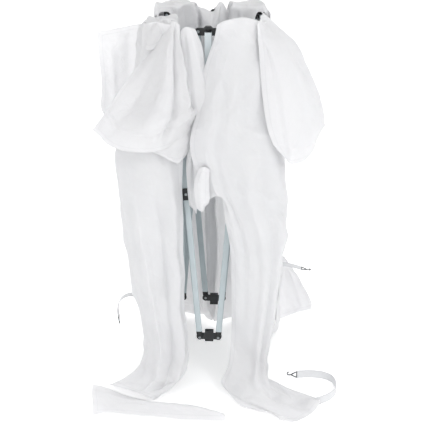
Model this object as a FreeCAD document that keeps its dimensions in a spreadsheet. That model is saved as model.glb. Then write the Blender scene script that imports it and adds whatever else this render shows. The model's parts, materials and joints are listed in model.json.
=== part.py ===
"""Pop-up canopy frame, folded up, with its cloth cover still hanging on the four corners.

Millimetres. X runs along the front, Y to the back, Z up; the origin is on the frame's own axis, on
the ground. The frame is square, so each corner piece and each side piece is modelled once, at the
front-left corner or on the front side, and turned about Z for the others.
"""
import FreeCAD, Part
import math
import os
import re
import Sketcher

Vector = FreeCAD.Vector
Rotation = FreeCAD.Rotation
Placement = FreeCAD.Placement

CORNERS = ["front_left", "front_right", "back_right", "back_left"]
SIDES = ["front", "right", "back", "left"]

SIZES = {
    # frame
    "leg_half_spacing": 190.0,
    "leg_width": 40.0,
    "leg_wall": 1.2,
    "leg_lower_end": 42.0,
    "leg_upper_end": 1576.0,
    "inner_leg_gap": 0.3,
    "inner_leg_wall": 1.2,
    "inner_leg_length": 1150.0,
    # scissor bars
    "bar_pivots": 1352.0,
    "bar_width": 26.0,
    "bar_thickness": 12.0,
    "bar_wall": 1.2,
    "bar_rounding": 4.5,
    "bar_plug": 24.0,
    "top_pivot_drop": 21.0,
    "leg_pivot_offset": 42.0,
    "mid_pivot_offset": 41.0,
    # plastic joints
    "lug_thickness": 7.4,
    "lug_radius": 15.0,
    "bar_clearance": 0.3,
    "sleeve_wall": 4.2,
    "socket_gap": 0.1,
    "slider_gap": 0.4,
    "bracket_height": 110.0,
    "bracket_roof": 3.5,
    "slider_height": 64.0,
    "hub_width": 38.0,
    "hub_height": 50.0,
    "hub_depth": 24.0,
    # bolts and rivets
    "bolt_radius": 3.0,
    "running_gap": 0.05,
    "head_radius": 5.6,
    "head_height": 2.6,
    "seat_gap": 0.1,
    "clip_width": 29.0,
    "clip_length": 52.0,
    "clip_thickness": 3.6,
    "washer_radius": 12.0,
    # feet
    "foot_flange": 13.8,
    "foot_plate": 5.0,
    "foot_socket_height": 34.0,
    "peg_hole_radius": 4.5,
    # ridge posts
    "post_width": 27.0,
    "post_wall": 1.2,
    "post_length": 165.0,
    "post_above_pivot": 2.0,
    "cap_radius": 20.0,
    "cap_height": 9.0,
    "stem_radius": 5.0,
    "stem_height": 19.0,
    "stem_depth": 20.0,
    # cover
    "cloth_thickness": 5.0,
    "trail_thickness": 6.0,
    "cover_seat": 0.3,
    "strap_width": 38.0,
    "strap_thickness": 2.4,
    "hook_thickness": 3.0,
    "hook_base": 34.0,
    "hook_taper": 26.0,
    "hook_bar": 4.0,
    "hook_bend": 9.0,
    "hook_reach": 12.0,
    "hook_gap": 0.3,
}

doc = FreeCAD.newDocument("canopy")
sheet = doc.addObject("Spreadsheet::Sheet", "Sizes")
for row, (alias, value) in enumerate(SIZES.items(), start=1):
    sheet.set("A%d" % row, alias)
    sheet.set("B%d" % row, str(value))
    sheet.setAlias("B%d" % row, alias)
doc.recompute()

nodes = []


def size(alias):
    """A driving size as a number, for shapes that Part's functions make."""
    return float(sheet.get(alias))


def cells(text):
    """An expression in which each known alias is read from the sheet."""
    return re.sub(r"[a-z_]+", lambda m: "Sizes." + m[0] if m[0] in SIZES else m[0], text)


# The horizontal run of a bar at rest, the heights of its top, bottom and middle pivots, how far its
# plane lies from the lugs' middle, and half the width of the sleeves round a leg.
RUN = "(leg_half_spacing - leg_pivot_offset - mid_pivot_offset)"
HIGH = "(leg_upper_end - top_pivot_drop)"
LOW = "(" + HIGH + " - sqrt(bar_pivots ^ 2 - " + RUN + " ^ 2))"
MIDDLE = "(" + HIGH + " - sqrt(bar_pivots ^ 2 - " + RUN + " ^ 2) / 2)"
PLANE = "(lug_thickness / 2 + bar_clearance + bar_thickness / 2)"
SLEEVE = "(leg_width / 2 + sleeve_wall)"


def bind(item, **expressions):
    """Bind properties of an object to the sheet."""
    for name, text in expressions.items():
        item.setExpression(name.replace("__", "."), cells(text))
    return item


def seat(item, x="0", y="0", z="0"):
    """Bind an object's position."""
    return bind(item, Placement__Base__x=x, Placement__Base__y=y, Placement__Base__z=z)


# ---------------------------------------------------------------- primitives

def box(name, low, spans):
    item = doc.addObject("Part::Box", name)
    bind(item, Length=spans[0], Width=spans[1], Height=spans[2])
    return seat(item, *low)


AXIS_TURN = {
    "x": Rotation(Vector(0, 1, 0), 90),
    "y": Rotation(Vector(1, 0, 0), -90),
    "z": Rotation(),
}


def rod(name, axis, radius, length, start):
    """Cylinder along an axis, from its start point."""
    item = doc.addObject("Part::Cylinder", name)
    item.Placement = Placement(Vector(), AXIS_TURN[axis])
    bind(item, Radius=radius, Height=length)
    return seat(item, *start)


def fuse(name, parts):
    item = doc.addObject("Part::MultiFuse", name)
    item.Shapes = parts
    return item


def cut(name, base, tools):
    item = doc.addObject("Part::Cut", name)
    item.Base = base
    item.Tool = tools[0] if len(tools) == 1 else fuse(name + "_tools", tools)
    return item


def group(name, parts):
    """Several separate solids kept together."""
    item = doc.addObject("Part::Compound", name)
    item.Links = parts
    return item


def node(name, part, turn=0.0):
    """One exported piece: a part turned about the frame's axis."""
    item = group("node_" + name, [part])
    item.Label = name
    item.Placement = Placement(Vector(), Rotation(Vector(0, 0, 1), turn))
    nodes.append(item)
    return item


# ---------------------------------------------------------------- sketches

def sketch_on(body, role, name):
    """Sketch on one of the body's own origin planes."""
    plane = [f for f in body.Origin.OriginFeatures if f.Role == role][0]
    sketch = body.newObject("Sketcher::SketchObject", name)
    sketch.AttachmentSupport = (plane, [""])
    sketch.MapMode = "FlatFace"
    return sketch


def constrain(sketch, name, text, *constraint):
    """Add a named constraint that follows the sheet."""
    index = sketch.addConstraint(Sketcher.Constraint(*constraint))
    sketch.renameConstraint(index, name)
    sketch.setExpression("Constraints." + name, cells(text))


def rectangle(sketch, name, width, depth):
    """Rectangle about the sketch's origin."""
    corners = [Vector(-9, -9, 0), Vector(9, -9, 0), Vector(9, 9, 0), Vector(-9, 9, 0)]
    first = sketch.GeometryCount
    for i in range(4):
        sketch.addGeometry(Part.LineSegment(corners[i], corners[(i + 1) % 4]), False)
    for i in range(4):
        sketch.addConstraint(Sketcher.Constraint("Coincident", first + i, 2, first + (i + 1) % 4, 1))
    for i in (0, 2):
        sketch.addConstraint(Sketcher.Constraint("Horizontal", first + i))
        sketch.addConstraint(Sketcher.Constraint("Vertical", first + i + 1))
    sketch.addConstraint(Sketcher.Constraint("Symmetric", first, 1, first + 1, 2, -1, 1))
    constrain(sketch, name + "_width", width, "DistanceX", first, 1, first, 2, 18.0)
    constrain(sketch, name + "_depth", depth, "DistanceY", first + 1, 1, first + 1, 2, 18.0)


def circle(sketch, name, radius, height="0"):
    """Circle on the sketch's vertical axis."""
    index = sketch.addGeometry(Part.Circle(Vector(0, 0, 0), Vector(0, 0, 1), 2.0), False)
    constrain(sketch, name + "_radius", radius, "Radius", index, 2.0)
    sketch.addConstraint(Sketcher.Constraint("PointOnObject", index, 3, -2))
    if height == "0":
        sketch.addConstraint(Sketcher.Constraint("PointOnObject", index, 3, -1))
    else:
        constrain(sketch, name + "_height", height, "DistanceY", -1, 1, index, 3, 10.0)


def stadium(sketch, width, centres):
    """Flat outline with full round ends, its length along the sketch's vertical axis."""
    half, reach = 13.0, 600.0
    low, high = Vector(0, -reach, 0), Vector(0, reach, 0)
    side = Vector(half, 0, 0)
    up = Vector(0, 0, 1)
    sketch.addGeometry(Part.LineSegment(low - side, high - side), False)
    sketch.addGeometry(Part.ArcOfCircle(Part.Circle(high, up, half), 0, math.pi), False)
    sketch.addGeometry(Part.LineSegment(high + side, low + side), False)
    sketch.addGeometry(Part.ArcOfCircle(Part.Circle(low, up, half), math.pi, 2 * math.pi), False)
    for ends in ((0, 2, 1, 2), (1, 1, 2, 1), (2, 2, 3, 2), (3, 1, 0, 1)):
        sketch.addConstraint(Sketcher.Constraint("Tangent", *ends))
    sketch.addConstraint(Sketcher.Constraint("Symmetric", 1, 3, 3, 3, -1, 1))
    sketch.addConstraint(Sketcher.Constraint("PointOnObject", 1, 3, -2))
    sketch.addConstraint(Sketcher.Constraint("Vertical", 0))
    constrain(sketch, "end_radius", width + " / 2", "Radius", 1, half)
    constrain(sketch, "centres", centres, "DistanceY", 3, 3, 1, 3, 2 * reach)


def pad(body, sketch, length, both_ways=False):
    feature = body.newObject("PartDesign::Pad", sketch.Name + "_pad")
    feature.Profile = sketch
    if both_ways:
        feature.SideType = "Symmetric"
    bind(feature, Length=length)
    doc.recompute()
    return feature


def pocket(body, sketch, length):
    """Cut both ways from the sketch, and check that the cut met the solid."""
    before = body.Shape.Volume
    feature = body.newObject("PartDesign::Pocket", sketch.Name + "_pocket")
    feature.Profile = sketch
    feature.SideType = "Symmetric"
    bind(feature, Length=length)
    doc.recompute()
    assert body.Shape.Volume < before, sketch.Name + " cuts nothing"
    return feature


def tube(name, width, wall, length, bottom):
    """Square tube standing on the corner's leg axis."""
    body = doc.addObject("PartDesign::Body", name)
    profile = sketch_on(body, "XY_Plane", name + "_profile")
    rectangle(profile, "outside", width, width)
    rectangle(profile, "inside", width + " - 2 * " + wall, width + " - 2 * " + wall)
    pad(body, profile, length)
    return seat(body, "- leg_half_spacing", "- leg_half_spacing", bottom)


# ---------------------------------------------------------------- bolts

def bolt(name, axis, along, height, bar_side, across="- leg_half_spacing"):
    """Pivot bolt: through a bar on one side of a lug, through the lug, with a nut behind it."""
    bar_reach = "(lug_thickness / 2 + bar_clearance + bar_thickness + seat_gap + head_height)"
    nut_reach = "(lug_thickness / 2 + seat_gap + head_height)"
    low, high = (bar_reach, nut_reach) if bar_side < 0 else (nut_reach, bar_reach)
    low_end = across + " - " + low
    high_disc = across + " + " + high + " - head_height"

    def place(start):
        return (along, start, height) if axis == "y" else (start, along, height)

    return fuse(name, [
        rod(name + "_shank", axis, "bolt_radius", low + " + " + high, place(low_end)),
        rod(name + "_low_head", axis, "head_radius", "head_height", place(low_end)),
        rod(name + "_high_head", axis, "head_radius", "head_height", place(high_disc)),
    ])


# ---------------------------------------------------------------- corner pieces

def outer_leg():
    return tube("outer_leg", "leg_width", "leg_wall", "leg_upper_end - leg_lower_end",
                "leg_lower_end")


def inner_leg():
    width = "(leg_width - 2 * leg_wall - 2 * inner_leg_gap)"
    return tube("inner_leg", width, "inner_leg_wall", "inner_leg_length", "foot_plate + seat_gap")


def lugs(name, height):
    """Two lugs that reach from a leg's sleeve along the front and along the side."""
    reach = "leg_pivot_offset - leg_width / 2 - sleeve_wall / 2"
    inner = "- leg_half_spacing + leg_width / 2 + sleeve_wall / 2"
    flat = "- leg_half_spacing - lug_thickness / 2"
    pivot = "- leg_half_spacing + leg_pivot_offset"
    bottom = height + " - lug_radius"
    return [
        box(name + "_front_lug", (inner, flat, bottom), (reach, "lug_thickness", "2 * lug_radius")),
        rod(name + "_front_eye", "y", "lug_radius", "lug_thickness", (pivot, flat, height)),
        box(name + "_side_lug", (flat, inner, bottom), ("lug_thickness", reach, "2 * lug_radius")),
        rod(name + "_side_eye", "x", "lug_radius", "lug_thickness", (flat, pivot, height)),
    ]


def lug_holes(name, height):
    radius = "bolt_radius + running_gap"
    flat = "- leg_half_spacing - lug_thickness"
    pivot = "- leg_half_spacing + leg_pivot_offset"
    return [
        rod(name + "_front_hole", "y", radius, "2 * lug_thickness", (pivot, flat, height)),
        rod(name + "_side_hole", "x", radius, "2 * lug_thickness", (flat, pivot, height)),
    ]


def lug_bolts(name, height, bar_side):
    pivot = "- leg_half_spacing + leg_pivot_offset"
    return [
        bolt(name + "_front_bolt", "y", pivot, height, bar_side),
        bolt(name + "_side_bolt", "x", pivot, height, bar_side),
    ]


def sleeve(name, half, bottom, height):
    """Square block about the leg's axis."""
    low = "- leg_half_spacing - " + half
    return box(name, (low, low, bottom), ("2 * " + half, "2 * " + half, height))


def corner_bracket():
    """Closed cap on the leg's top with a lug for each side's outer bar."""
    height = HIGH
    bottom = "leg_upper_end + seat_gap + bracket_roof - bracket_height"
    hollow = "(leg_width / 2 + socket_gap)"
    solid = fuse("bracket_solid", [sleeve("bracket_block", SLEEVE, bottom, "bracket_height")]
                 + lugs("bracket", height))
    tools = [sleeve("bracket_socket", hollow, bottom + " - 1", "bracket_height - bracket_roof + 1")]
    shell = cut("bracket_shell", solid, tools + lug_holes("bracket", height))
    return group("corner_bracket", [shell] + lug_bolts("bracket", height, -1))


def slider():
    """Sleeve that runs on the outer leg, with a lug for each side's inner bar."""
    bottom = LOW + " - slider_height / 2"
    hollow = "(leg_width / 2 + slider_gap)"
    solid = fuse("slider_solid", [sleeve("slider_block", SLEEVE, bottom, "slider_height")]
                 + lugs("slider", LOW))
    tools = [sleeve("slider_channel", hollow, bottom + " - 1", "slider_height + 2")]
    shell = cut("slider_shell", solid, tools + lug_holes("slider", LOW))
    return group("slider_set", [shell] + lug_bolts("slider", LOW, 1))


def foot():
    """Foot plate with a socket round the inner leg and two ground peg holes."""
    half = "(leg_width / 2 - leg_wall - inner_leg_gap)"
    plate = sleeve("foot_plate_block", "(" + SLEEVE + " + foot_flange)", "0", "foot_plate")
    socket = sleeve("foot_socket_block", SLEEVE, "0", "foot_socket_height")
    hollow = sleeve("foot_hollow", "(" + half + " + seat_gap)", "foot_plate", "foot_socket_height")
    solid = fuse("foot_solid", [plate, socket])
    centre = "- leg_half_spacing"
    holes = []
    for name, sign, opposite in (("outer", "-", "+"), ("inner", "+", "-")):
        at = "%s %s (%s + foot_flange / 2)" % (centre, sign, SLEEVE)
        other = "%s %s (%s + foot_flange / 2)" % (centre, opposite, SLEEVE)
        holes.append(rod("foot_peg_hole_" + name, "z", "peg_hole_radius", "2 * foot_socket_height",
                         (at, other, "- foot_socket_height")))
    return cut("foot", solid, [hollow] + holes)


# ---------------------------------------------------------------- scissor bars

def bar_tube():
    """Flat oval tube with full round, plugged ends and three pivot holes, upright on its centre."""
    body = doc.addObject("PartDesign::Body", "bar_tube")
    outline = sketch_on(body, "XZ_Plane", "bar_outline")
    stadium(outline, "bar_width", "bar_pivots")
    solid = pad(body, outline, "bar_thickness", both_ways=True)
    rims = [i for i, f in enumerate(solid.Shape.Faces, start=1) if abs(f.normalAt(0, 0).y) > 0.99]
    rounding = body.newObject("PartDesign::Fillet", "bar_rounding")
    rounding.Base = (solid, ["Face%d" % i for i in rims])
    bind(rounding, Radius="bar_rounding")
    doc.recompute()
    section = sketch_on(body, "XY_Plane", "bar_section")
    rectangle(section, "hollow", "bar_width - 2 * bar_wall - bar_rounding",
              "bar_thickness - 2 * bar_wall")
    pocket(body, section, "bar_pivots - 2 * bar_plug")
    holes = sketch_on(body, "XZ_Plane", "bar_holes")
    circle(holes, "centre", "bolt_radius + running_gap")
    circle(holes, "upper", "bolt_radius + running_gap", "bar_pivots / 2")
    circle(holes, "lower", "bolt_radius + running_gap", "- bar_pivots / 2")
    pocket(body, holes, "2 * bar_thickness")
    return body


def rivet_set():
    """What joins an outer bar to the inner bar behind it: rivet, washer and front clip."""
    front = "(bar_thickness / 2 + seat_gap)"
    clip_front = "(" + front + " + clip_thickness + seat_gap)"
    gap = "(lug_thickness + 2 * bar_clearance)"
    back = "(bar_thickness * 1.5 + " + gap + " + seat_gap)"
    hole = "bolt_radius + running_gap"
    start = "- " + clip_front + " - head_height"
    span = clip_front + " + " + back + " + 2 * head_height"
    rivet = fuse("rivet", [
        rod("rivet_shank", "y", "bolt_radius", span, ("0", start, "0")),
        rod("rivet_head", "y", "head_radius", "head_height", ("0", start, "0")),
        rod("rivet_tail", "y", "head_radius", "head_height", ("0", back, "0")),
    ])
    washer = cut("washer", rod("washer_disc", "y", "washer_radius", gap + " - 2 * seat_gap",
                               ("0", front, "0")),
                 [rod("washer_hole", "y", hole, "4 * bar_thickness", ("0", "0", "0"))])
    clip_low = ("- clip_width / 2", "- " + front + " - clip_thickness", "- clip_length / 2")
    clip = cut("clip", box("clip_plate", clip_low, ("clip_width", "clip_thickness", "clip_length")),
               [rod("clip_hole", "y", hole, "2 * bar_thickness", ("0", "- 2 * bar_thickness", "0"))])
    return [rivet, washer, clip]


def lean(name, part, side, plane_side, turn_sign):
    """A bar put in its place on the front side: which half, which plane, which way its top leans."""
    item = group(name, [part])
    item.Placement = Placement(Vector(), Rotation(Vector(0, 1, 0), 5.0 * turn_sign))
    centre = "(leg_half_spacing - leg_pivot_offset + mid_pivot_offset) / 2"
    seat(item, side + " " + centre, "- leg_half_spacing " + plane_side + " " + PLANE, MIDDLE)
    angle = "%d * asin( %s / bar_pivots )" % (turn_sign, RUN)
    bind(item, Placement__Rotation__Angle=angle)
    return item


# ---------------------------------------------------------------- mid joints

def mid_joint(name, height, bar_side, for_post):
    """Plate between the two scissors of a side, a bolt at each end, and a hub unless a post sits there."""
    flat = "- leg_half_spacing - lug_thickness / 2"
    pieces = [box(name + "_plate", ("- mid_pivot_offset", flat, height + " - lug_radius"),
                  ("2 * mid_pivot_offset", "lug_thickness", "2 * lug_radius"))]
    if not for_post:
        pieces.append(box(name + "_hub", ("- hub_width / 2", flat, height + " - hub_height / 2"),
                          ("hub_width", "hub_depth", "hub_height")))
    tools = []
    bolts = []
    for end, sign in (("low", "-"), ("high", "")):
        at = sign + " mid_pivot_offset"
        pieces.append(rod(name + "_eye_" + end, "y", "lug_radius", "lug_thickness",
                          (at, flat, height)))
        tools.append(rod(name + "_hole_" + end, "y", "bolt_radius + running_gap",
                         "3 * lug_thickness", (at, flat + " - lug_thickness", height)))
        bolts.append(bolt(name + "_bolt_" + end, "y", at, height, bar_side))
    return group(name, [cut(name + "_shell", fuse(name + "_solid", pieces), tools)] + bolts)


def ridge_post():
    """Short square post on the face of a mid joint."""
    body = doc.addObject("PartDesign::Body", "ridge_post")
    profile = sketch_on(body, "XY_Plane", "post_profile")
    rectangle(profile, "outside", "post_width", "post_width")
    rectangle(profile, "inside", "post_width - 2 * post_wall", "post_width - 2 * post_wall")
    pad(body, profile, "post_length")
    return seat(body, "0", "- leg_half_spacing - lug_thickness / 2 - seat_gap - post_width / 2",
                HIGH + " + post_above_pivot - post_length")


def ridge_cap():
    """Mushroom that carries the cover: plug in the post, collar, stem and dome."""
    inside = "(post_width / 2 - post_wall - seat_gap)"
    centre = "(- leg_half_spacing - lug_thickness / 2 - seat_gap - post_width / 2)"
    above = "(" + HIGH + " + post_above_pivot + seat_gap)"
    plug = box("cap_plug", ("- " + inside, centre + " - " + inside, above + " - stem_depth"),
               ("2 * " + inside, "2 * " + inside, "stem_depth"))
    stem = rod("cap_stem", "z", "stem_radius", "stem_height", ("0", centre, above))
    dome = doc.addObject("Part::Cone", "cap_dome")
    bind(dome, Radius1="cap_radius", Radius2="cap_radius * 0.55", Height="cap_height")
    seat(dome, "0", centre, above + " + stem_height - cap_height / 2")
    return fuse("ridge_cap", [plug, stem, dome])


# ---------------------------------------------------------------- cloth cover

# One line per level of a quarter of the cover, from the top down: height, then distances from the
# leg's axis: reach of the front edge towards the middle, how far the front face stands out there,
# the corner's overhang to the side and to the front, how far the side face stands out at its far
# edge, and that edge's reach along the side.
COVER_LEVELS = {
    "front_left": [
        (1586, 95, 42, 44, 44, 42, 95),
        (1400, 118, 52, 120, 90, 60, 130),
        (1135, 128, 66, 270, 120, 130, 150),
        (1065, 60, 58, 205, 100, 110, 140),
        (460, 80, 82, 145, 100, 95, 110),
        (60, 72, 78, 110, 105, 70, 80),
        (2, 72, 82, 116, 110, 72, 80),
    ],
    "front_right": [
        (1586, 130, 48, 44, 48, 42, 95),
        (1400, 215, 84, 190, 90, 80, 130),
        (1235, 240, 92, 275, 110, 130, 150),
        (1135, 250, 92, 240, 110, 130, 150),
        (1070, 238, 90, 150, 100, 110, 140),
        (865, 160, 84, 135, 90, 95, 130),
        (620, 88, 80, 132, 90, 85, 120),
        (215, 82, 76, 82, 80, 70, 90),
        (2, 118, 62, 60, 66, 58, 70),
    ],
    "back_right": [
        (1586, 95, 42, 44, 44, 42, 95),
        (1480, 160, 52, 60, 60, 50, 100),
        (1300, 196, 80, 95, 100, 70, 110),
        (700, 200, 90, 140, 110, 85, 130),
        (360, 190, 98, 178, 125, 110, 130),
        (260, 180, 100, 222, 130, 110, 130),
        (130, 150, 105, 285, 135, 110, 110),
        (2, 110, 100, 200, 130, 90, 90),
    ],
    "back_left": [
        (1586, 95, 42, 52, 44, 42, 95),
        (1465, 150, 50, 325, 100, 120, 110),
        (1110, 190, 60, 325, 120, 140, 120),
        (1000, 192, 62, 150, 100, 90, 130),
        (300, 190, 72, 150, 110, 90, 120),
        (2, 110, 90, 130, 120, 80, 90),
    ],
}

# The cover, its outlines on the floor and the straps' routes are drawn for legs this far from the
# frame's axis and for foot plates of this half width.
COVER_DRAWN_AT = 190.0
COVER_DRAWN_ROUND = 38.0

# Outline on the floor of the part of the cover that trails there.
COVER_TRAILS = {
    "front_left": [(-112, -266), (-150, -268), (-310, -290), (-520, -266), (-562, -390), (-475, -528),
                   (35, -514), (35, -442), (-230, -432)],
    "front_right": [(74, -248), (150, -436), (240, -500), (338, -528), (450, -385), (420, -320),
                    (244, -250)],
    "back_right": [(90, 286), (110, 420), (300, 528), (430, 420), (384, 316)],
    "back_left": [(-90, 282), (-130, 410), (-300, 528), (-400, 400), (-316, 306)],
}

SIGNS = {
    "front_left": (-1, -1),
    "front_right": (1, -1),
    "back_right": (1, 1),
    "back_left": (-1, 1),
}


def stand_off():
    """How much further than drawn the cover stands from a leg's axis, for a wider foot plate."""
    return (size("leg_width") / 2 + size("sleeve_wall") + size("foot_flange")) - COVER_DRAWN_ROUND


def moved_out(corner, points):
    """Points near a corner, moved with its leg and with the size of its foot plate."""
    shift = size("leg_half_spacing") - COVER_DRAWN_AT + stand_off()
    signs = SIGNS[corner]
    return [Vector(x + signs[0] * shift, y + signs[1] * shift, z) for x, y, z in points]


def cover_section(level, signs):
    """Closed thin outline of one level: along the front face, round the corner, along the side."""
    height, front_edge, front, corner_out, corner_front, side, side_edge = level
    spacing = size("leg_half_spacing")
    face = spacing + stand_off()
    thick = size("cloth_thickness")
    outside = [
        (spacing - front_edge, face + front),
        (face + corner_out * 0.35, face + corner_front),
        (face + corner_out, face + corner_front * 0.35),
        (face + side, spacing - side_edge),
    ]
    steps = [(0, thick), (thick / 2, thick), (thick, thick / 2), (thick, 0)]
    inside = [(x - dx, y - dy) for (x, y), (dx, dy) in zip(outside, steps)]
    ring = outside + inside[::-1]
    points = [Vector(signs[0] * x, signs[1] * y, height) for x, y in ring]
    return Part.makePolygon(points + points[:1])


def cover_quarter(corner):
    """Cloth over one corner: pocket on the bracket, hanging shell and the trail on the floor."""
    signs = SIGNS[corner]
    levels = COVER_LEVELS[corner]
    top = size("leg_upper_end") + size("seat_gap") + size("bracket_roof") + size("cover_seat")
    lift = top + size("trail_thickness") - levels[0][0]
    raised = [(level[0] + lift * (level[0] > 900),) + level[1:] for level in levels]
    shell = Part.makeLoft([cover_section(level, signs) for level in raised], True, True)
    spacing = size("leg_half_spacing")
    near = spacing - size("leg_width") * 0.7
    far = spacing + stand_off() + levels[0][2] - 1
    pocket_roof = Part.makeBox(far - near, far - near, size("trail_thickness"), Vector(near, near, top))
    if signs[0] < 0:
        pocket_roof = pocket_roof.mirror(Vector(), Vector(1, 0, 0))
    if signs[1] < 0:
        pocket_roof = pocket_roof.mirror(Vector(), Vector(0, 1, 0))
    outline = moved_out(corner, [(x, y, 0) for x, y in COVER_TRAILS[corner]])
    trail = Part.Face(Part.makePolygon(outline + outline[:1]))
    trail = trail.extrude(Vector(0, 0, size("trail_thickness")))
    whole = shell.fuse([pocket_roof, trail]).removeSplitter()
    item = doc.addObject("Part::Feature", "cloth_" + corner)
    item.Shape = whole.Solids[0] if len(whole.Solids) == 1 else whole
    return item


# Where one edge of each tie-down strap runs, from inside its cover quarter to its hook, and the
# direction that its width lies in.
STRAPS = {
    "front_right": ([(428, -396, 0), (486, -384, 0), (533, -352, 0), (560, -305, 0), (563, -255, 0),
                     (546, -205, 0), (505, -178, 0), (450, -172, 0), (396, -180, 0)],
                    Vector(0, 0, 1)),
    "back_right": ([(340, 196, 380), (414, 196, 364)], Vector(0, 1, 0)),
    "back_left": ([(-305, 196, 160), (-360, 196, 192), (-420, 196, 200), (-460, 196, 172),
                   (-474, 196, 128), (-472, 196, 84)],
                  Vector(0, 1, 0)),
}


def ribbon(points, normal, width, thickness):
    """Flat webbing: one edge's points in a plane, a thickness there and a width across it."""
    left, right = [], []
    for i, point in enumerate(points):
        before = points[max(i - 1, 0)]
        after = points[min(i + 1, len(points) - 1)]
        across = (after - before).cross(normal)
        across.normalize()
        left.append(point + across * (thickness / 2))
        right.append(point - across * (thickness / 2))
    ring = left + right[::-1]
    return Part.Face(Part.makePolygon(ring + ring[:1])).extrude(normal * width)


def strap(corner, cloth):
    """Webbing that starts flush on its cover quarter."""
    route, normal = STRAPS[corner]
    points = moved_out(corner, route)
    webbing = ribbon(points, normal, size("strap_width"), size("strap_thickness"))
    pieces = webbing.cut(cloth.Shape).Solids
    item = doc.addObject("Part::Feature", "webbing_" + corner)
    item.Shape = max(pieces, key=lambda piece: piece.Volume)
    return item


def plate(points, thickness):
    """Flat piece in the XZ plane, centred on it."""
    outline = [Vector(x, -thickness / 2, z) for x, z in points]
    return Part.Face(Part.makePolygon(outline + outline[:1])).extrude(Vector(0, thickness, 0))


def hook(corner):
    """Stamped snap hook: a tapering loop for the webbing, a neck and a hook bent back over it."""
    half, taper, bar = size("hook_base") / 2, size("hook_taper"), size("hook_bar")
    thick, bend, reach = size("hook_thickness"), size("hook_bend"), size("hook_reach")
    loop = plate([(0, -half), (0, half), (taper, bar), (taper, -bar)], thick)
    window = plate([(bar, -half + 1.3 * bar), (bar, half - 1.3 * bar), (taper - bar, bar / 3),
                    (taper - bar, -bar / 3)], 2 * thick)
    neck = plate([(taper - bar, -bar / 2), (taper + reach, -bar / 2), (taper + reach, bar / 2),
                  (taper - bar, bar / 2)], thick)
    across = Vector(0, 1, 0)
    centre = Vector(taper + reach, -thick / 2, bend - bar / 2)
    curl = Part.makeCylinder(bend, thick, centre, across)
    curl = curl.cut(Part.makeCylinder(bend - bar, thick, centre, across))
    half_space = Part.makeBox(bend, thick, 2 * bend, centre - Vector(0, 0, bend))
    shape = loop.cut(window).fuse([neck, curl.common(half_space)]).removeSplitter()
    item = doc.addObject("Part::Feature", "hook_shape_" + corner)
    item.Shape = shape
    route, normal = STRAPS[corner]
    before, end = moved_out(corner, route[-2:])
    onward = (end - before).normalize()
    start = end + onward * size("hook_gap") + normal * (size("strap_width") / 2)
    item.Placement = Placement(start, Rotation(onward, Vector(), normal, "XZY"))
    return item


doc.recompute()
corner_parts = {
    "outer_leg": outer_leg(),
    "corner_bracket": corner_bracket(),
    "slider": slider(),
    "inner_leg": inner_leg(),
    "foot": foot(),
}
bar = bar_tube()
riveted_bar = group("riveted_bar", [bar] + rivet_set())
side_parts = {
    "bar_start_high": lean("bar_start_high", riveted_bar, "-", "-", -1),
    "bar_start_low": lean("bar_start_low", bar, "-", "+", 1),
    "bar_end_low": lean("bar_end_low", bar, "", "+", -1),
    "bar_end_high": lean("bar_end_high", riveted_bar, "", "-", 1),
    "mid_joint_lower": mid_joint("mid_joint_lower", LOW, -1, False),
    "mid_joint_upper": mid_joint("mid_joint_upper", HIGH, 1, True),
}
post = ridge_post()
cap = ridge_cap()

for k, corner in enumerate(CORNERS):
    for name, part in corner_parts.items():
        node(name + "_" + corner, part, 90.0 * k)
    cloth = cover_quarter(corner)
    node("cover_" + corner, cloth)
    if corner in STRAPS:
        node("strap_" + corner, strap(corner, cloth))
        node("strap_hook_" + corner, hook(corner))
for k, side in enumerate(SIDES):
    for name, part in side_parts.items():
        node(name + "_" + side, part, 90.0 * k)
    if side in ("front", "back"):
        node("ridge_post_" + side, post, 90.0 * k)
        node("ridge_cap_" + side, cap, 90.0 * k)

doc.recompute()
for item in doc.Objects:
    faults = [state for state in item.State if state in ("Invalid", "Error")]
    assert not faults, "%s is %s" % (item.Name, faults)

os.makedirs("parts", exist_ok=True)
for item in nodes:
    assert not item.Shape.isNull() and item.Shape.isValid(), item.Label
    assert item.Shape.Solids, item.Label
    item.Shape.exportStep("parts/%s.step" % item.Label)
    print("%-32s %d solids, %.1f cm3" % (item.Label, len(item.Shape.Solids),
                                         item.Shape.Volume / 1000))
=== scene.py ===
# %% [markdown]
# # A folded canopy frame with its cover still on
# The object is a square pop-up canopy: four telescoping legs joined by scissor bars, folded to a
# bundle, with a white cloth cover hanging loosely from its corners. The frame arrives from the CAD
# model and stays exactly where it is. This lesson gives the frame its finishes and makes everything
# that is soft: the cover's corner hoods, drapes, swags and floor trails, and the tie-down straps.

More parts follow.
